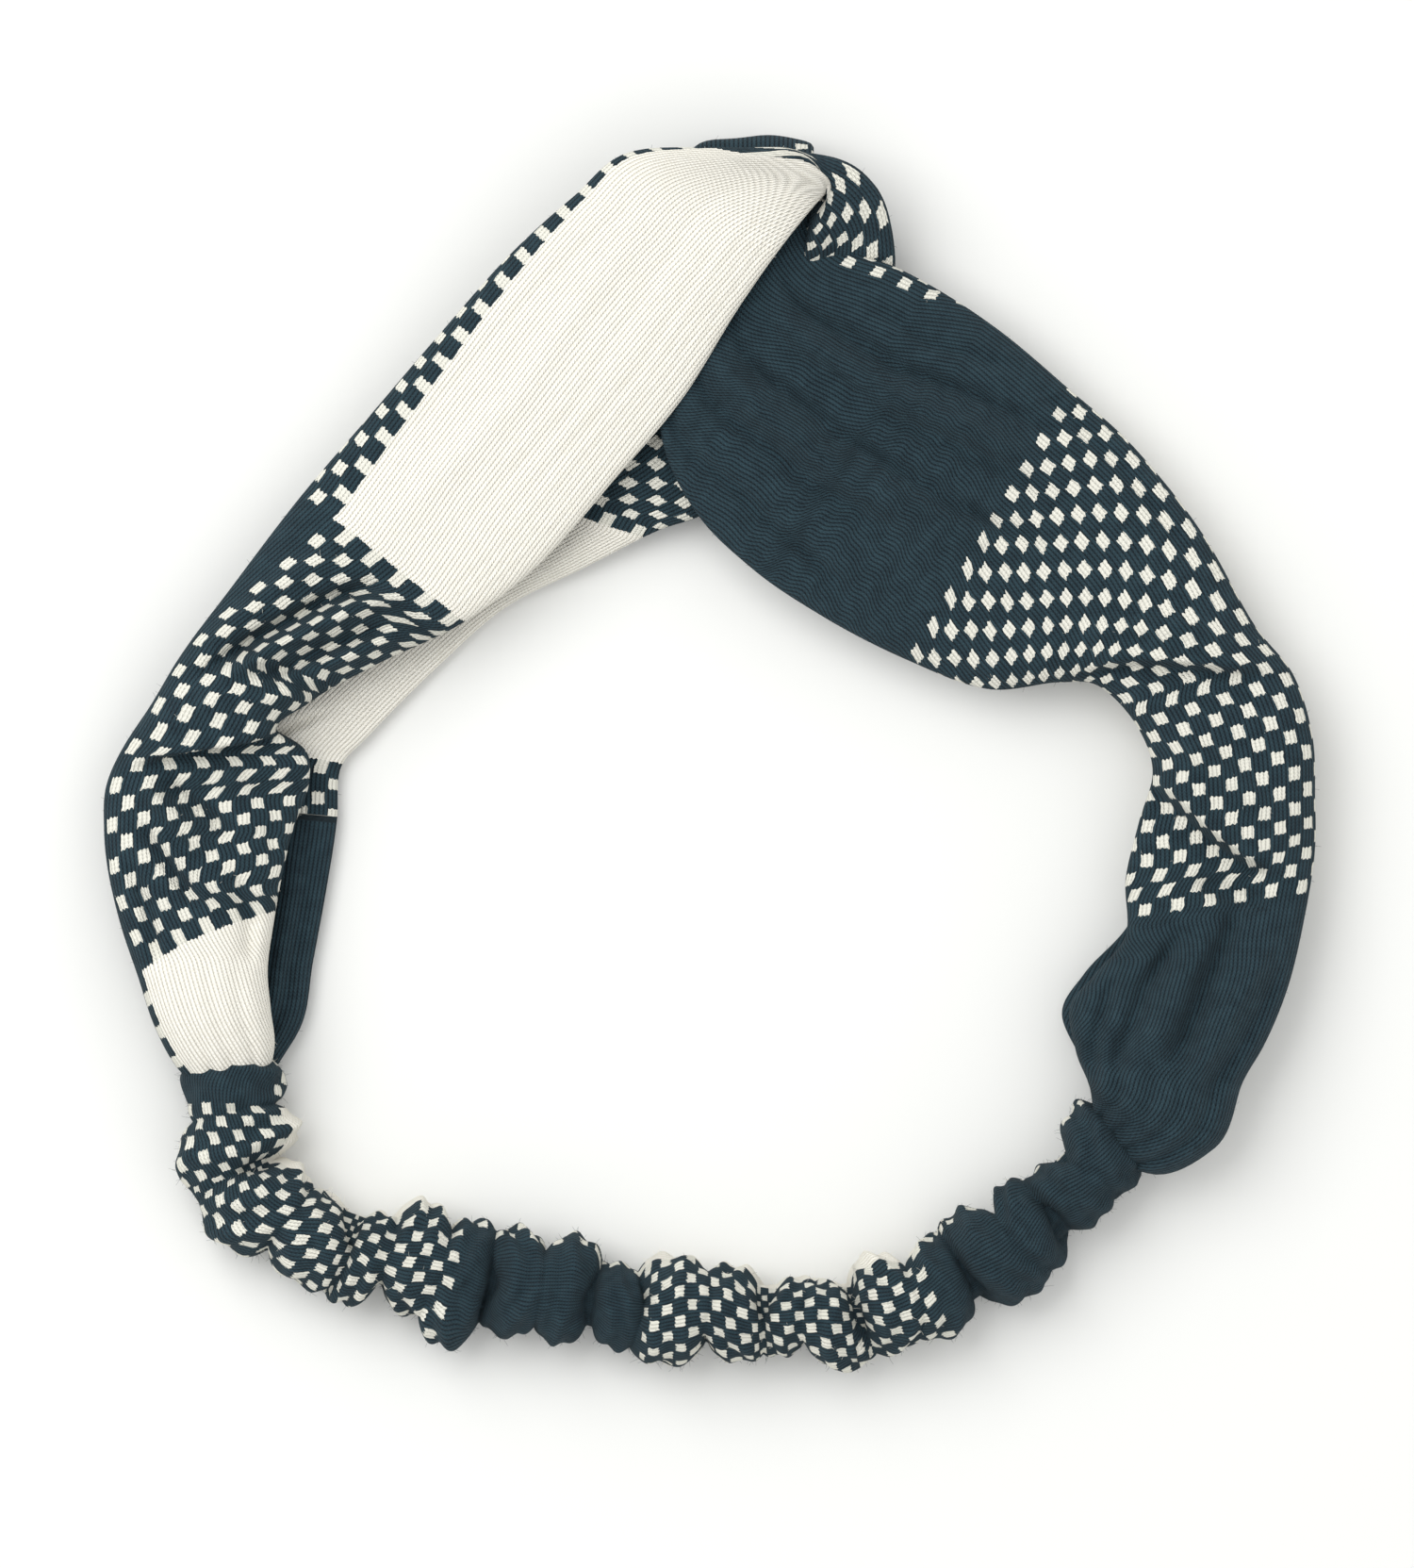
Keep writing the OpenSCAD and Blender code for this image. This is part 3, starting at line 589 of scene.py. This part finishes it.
def tubes(name, lines, radius, sides, fabric, uvs=None):
    """One mesh of closed round tubes, one along each line of points, in millimetres from the knot. radius is one
    number, or a pair for a tube that tapers. uvs gives each tube one place in the cloth, for its colour."""
    verts, faces, places = [], [], []
    for n, line in enumerate(lines):
        line = np.asarray(line, float)
        along = unit(np.gradient(line, axis=0))
        across = unit(np.cross(along, (0.21, 0.13, 0.97)))
        up = np.cross(across, along)
        first = len(verts)
        count = len(line)
        size = np.full(count, radius) if np.isscalar(radius) else np.interp(np.linspace(0, 1, count), (0, 1), radius)
        for p, x, y, r in zip(line, across, up, size):
            for k in range(sides):
                t = 2 * math.pi * k / sides
                verts.append(knot + MM * (p + r * (math.cos(t) * x + math.sin(t) * y)))
        for i in range(count - 1):
            for k in range(sides):
                j = (k + 1) % sides
                faces.append((first + i * sides + k, first + i * sides + j,
                              first + (i + 1) * sides + j, first + (i + 1) * sides + k))
        faces.append(tuple(first + k for k in reversed(range(sides))))
        faces.append(tuple(first + (count - 1) * sides + k for k in range(sides)))
        places += [uvs[n] if uvs is not None else (0, 0)] * (count * sides)
    mesh = bpy.data.meshes.new(name)
    mesh.from_pydata([tuple(v) for v in verts], [], faces)
    if uvs is not None:
        layer = mesh.uv_layers.new(name="cloth")
        at = np.array(places)[[loop.vertex_index for loop in mesh.loops]] * MM
        layer.data.foreach_set("uv", at.ravel())
    mesh.shade_smooth()
    mesh.materials.append(fabric)
    obj = bpy.data.objects.new(name, mesh)
    bpy.context.scene.collection.objects.link(obj)
    return obj


STITCH_LIFT = 0.35      # the least height of a stitch's middle above the floor


def stitches(path, length, gap, rise, normals):
    """Short stitches along a path, each dipping into the cloth at both ends."""
    run = lengths(path)
    lines = []
    for start in np.arange(0.5, run[-1] - length, length + gap):
        at = start + np.linspace(0, length, 5)
        bow = np.array([-0.25, 0.8, 1, 0.8, -0.25]) * rise
        p = np.column_stack([np.interp(at, run, path[:, k]) for k in range(3)])
        n = np.column_stack([np.interp(at, run, normals[:, k]) for k in range(3)])
        line = p + n * bow[:, None]
        line[:, 2] = np.maximum(line[:, 2], STITCH_LIFT)
        lines.append(line)
    return lines


dark_thread = plain("dark_sewing", (0.012, 0.020, 0.030), 0.55, 900)
light_thread = plain("light_sewing", (0.70, 0.67, 0.58), 0.55, 900)
elastic_weave = plain("elastic_weave", (0.72, 0.71, 0.68), 0.6, 260)


SEAM_END = 6        # how far a strap's seam stops from its ends


def strap_seam(name, strap, points, thread, node):
    """A row of stitches along the middle of a strap's underside."""
    column = int(np.argmin(strap.h + np.abs(strap.w)))
    keep = (strap.s > SEAM_END) & (strap.s < strap.s[-1] - SEAM_END)
    path, normals = points[keep, column], -strap.out[keep]
    seam = tubes(name, stitches(path, 2.4, 0.9, 0.3, normals), 0.22, 6, thread)
    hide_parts(node)
    return seam


left_seam = strap_seam("left_seam_stitches", left, left_points, light_thread, "left_strap_seam")
right_seam = strap_seam("right_seam_stitches", right, right_points, dark_thread, "right_strap_seam")

ring = -0.62 * math.pi                                   # the casing's seam lies underneath, towards the outside
seam_s = np.arange(4, casing_s[-1] - 4, 0.3)
seam_reach = casing_surface(seam_s, np.full_like(seam_s, ring)) + 0.05
seam_xy, seam_side = beside_casing(seam_s)
seam_path = np.column_stack([seam_xy + seam_side * (math.cos(ring) * seam_reach)[:, None],
                             CASING_MIDDLE + math.sin(ring) * seam_reach])
seam_path[:, 2] = np.maximum(seam_path[:, 2], 0.5)
seam_out = unit(np.column_stack([seam_side * math.cos(ring), np.full(len(seam_s), math.sin(ring))]))
casing_stitches = tubes("casing_stitches", stitches(seam_path, 2.2, 0.8, 0.3, seam_out), 0.2, 6, dark_thread)
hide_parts("casing_seam")

# the elastic is a flat tape inside the casing
tape_s = np.linspace(0, casing_s[-1], 120)
tape_xy, tape_side = beside_casing(tape_s)
TAPE_HALF_W, TAPE_HALF_T, TAPE_SIDES = 3.2, 0.6, 12
tape_points = np.zeros((len(tape_s), TAPE_SIDES, 3))
for k, t in enumerate(np.linspace(0, 2 * math.pi, TAPE_SIDES, endpoint=False)):
    tape_points[:, k, :2] = tape_xy + tape_side * (TAPE_HALF_W * math.cos(t))
    tape_points[:, k, 2] = CASING_MIDDLE + TAPE_HALF_T * math.sin(t)
tape_run = np.repeat(tape_s[:, None], TAPE_SIDES, axis=1)
tape = tube_mesh("elastic_tape", tape_points, tape_run, np.zeros((len(tape_s), TAPE_SIDES, 2)), elastic_weave)
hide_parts("elastic_band")


NECK_HALF_W, NECK_HALF_H = 5.2, 4.6


def gather_threads(name, first, heading, node):
    """Four turns of thread that tie a gathered end, the first round the point given."""
    lines = []
    heading = np.array(heading, float) / math.hypot(*heading)
    side = np.array([heading[1], -heading[0]])
    t = np.linspace(0, 2 * math.pi, 33)
    for k in range(4):
        centre = np.array(first) + heading * (0.9 * k)
        lines.append(np.column_stack([
            centre[0] + side[0] * NECK_HALF_W * np.cos(t) + heading[0] * 0.45 * t / math.pi,
            centre[1] + side[1] * NECK_HALF_W * np.cos(t) + heading[1] * 0.45 * t / math.pi,
            CASING_MIDDLE + NECK_HALF_H * np.sin(t)]))
    ties = tubes(name, lines, 0.25, 6, dark_thread)
    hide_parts(node)
    return ties


left_ties = gather_threads("left_gather_threads", CASING_ROUTE[0], casing_dir[0], "left_join_thread")
right_ties = gather_threads("right_gather_threads", casing_line[-1] - 3.6 * casing_dir[-1], casing_dir[-1],
                            "right_join_thread")


LOWEST_ROOT = 0.6       # fibres grow above this height
FIBRE_LIFT = 0.15       # the least height of a fibre


def fuzz(name, obj, count, seed, longest, fabric):
    """Loose fibres standing off a cloth, each coloured as the place it grows from."""
    rng = np.random.default_rng(seed)
    mesh = obj.data
    uv = mesh.uv_layers["cloth"].data
    areas = np.array([p.area for p in mesh.polygons])
    picks = rng.choice(len(areas), size=count, p=areas / areas.sum())
    lines, uvs = [], []
    for i in picks:
        polygon = mesh.polygons[int(i)]
        root = (np.array(polygon.center) - knot) / MM
        if root[2] < LOWEST_ROOT:
            continue
        normal = np.array(polygon.normal)
        lean = unit(normal + rng.normal(0, 0.9, 3))
        if lean @ normal < 0.1:
            lean = unit(lean + normal)
        curl = rng.normal(0, 0.55, 3)
        size = longest * rng.uniform(0.35, 1)
        t = np.linspace(0, 1, 4)[:, None]
        line = root - 0.1 * normal + size * (t * lean + t ** 2 * curl * 0.6)
        line[:, 2] = np.maximum(line[:, 2], FIBRE_LIFT)
        lines.append(line)
        uvs.append(np.array(uv[polygon.loop_start].uv) / MM)
    return tubes(name, lines, (0.028, 0.015), 3, fabric, uvs)


left_fuzz = fuzz("left_fibres", left_strap, 2400, 3, 0.8, left_knit)
right_fuzz = fuzz("right_fibres", right_strap, 2400, 4, 0.9, right_knit)
casing_fuzz = fuzz("casing_fibres", casing, 4000, 5, 1.1, casing_knit)

# the left strap and the casing, with their stitches, tape and fibres, stay where they lie; the left gather threads go
# with the left side, and the right strap's pieces and threads with the right side
for piece in (left_strap, left_seam, left_fuzz):
    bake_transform(piece)
for piece in (casing, casing_stitches, tape, casing_fuzz):
    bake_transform(piece)
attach(left_ties, "left_side")
for piece in (right_strap, right_seam, right_fuzz, right_ties):
    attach(piece, "right_side")

# ---------------------------------------------------------------------------------------------
# Camera, floor and light
# ---------------------------------------------------------------------------------------------
VIEW_W = 0.225          # width of the floor in view
CAMERA_H = 2.4          # height of the camera
VIEW_CENTRE = (knot[0] - 6.4 * MM, knot[1] - 77.3 * MM)
SENSOR_W = 36

camera_data = bpy.data.cameras.new("camera")
camera_data.sensor_fit = "HORIZONTAL"
camera_data.sensor_width = SENSOR_W
camera_data.lens = SENSOR_W * CAMERA_H / VIEW_W
camera = bpy.data.objects.new("camera", camera_data)
camera.location = (*VIEW_CENTRE, CAMERA_H)
bpy.context.scene.collection.objects.link(camera)
bpy.context.scene.camera = camera

bpy.ops.mesh.primitive_plane_add(size=4, location=(0, 0, 0))
floor = bpy.context.object
floor.name = "floor"
floor_paint = bpy.data.materials.new("floor")
floor_paint.use_nodes = True
floor_shader = floor_paint.node_tree.nodes["Principled BSDF"]
floor_shader.inputs["Base Color"].default_value = (0.765, 0.77, 0.75, 1)
floor_shader.inputs["Roughness"].default_value = 0.6
floor.data.materials.append(floor_paint)


def area_light(name, location, size, power):
    data = bpy.data.lights.new(name, "AREA")
    data.shape, data.size, data.size_y, data.energy = "RECTANGLE", size, size, power
    lamp = bpy.data.objects.new(name, data)
    lamp.location = location
    x, y, z = location      # the lamp looks at the origin
    lamp.rotation_euler = (math.atan2(math.hypot(x, y), z), 0, math.atan2(-x, y) + math.pi)
    bpy.context.scene.collection.objects.link(lamp)


area_light("key", (-0.45, 0.35, 0.8), 0.8, 6.5)
area_light("fill", (0.6, -0.2, 1.1), 1.2, 2)
world = bpy.data.worlds.new("world")
world.use_nodes = True
world.node_tree.nodes["Background"].inputs["Color"].default_value = (1, 1, 1, 1)
world.node_tree.nodes["Background"].inputs["Strength"].default_value = 0.85
bpy.context.scene.world = world
bpy.context.scene.view_settings.view_transform = "Standard"
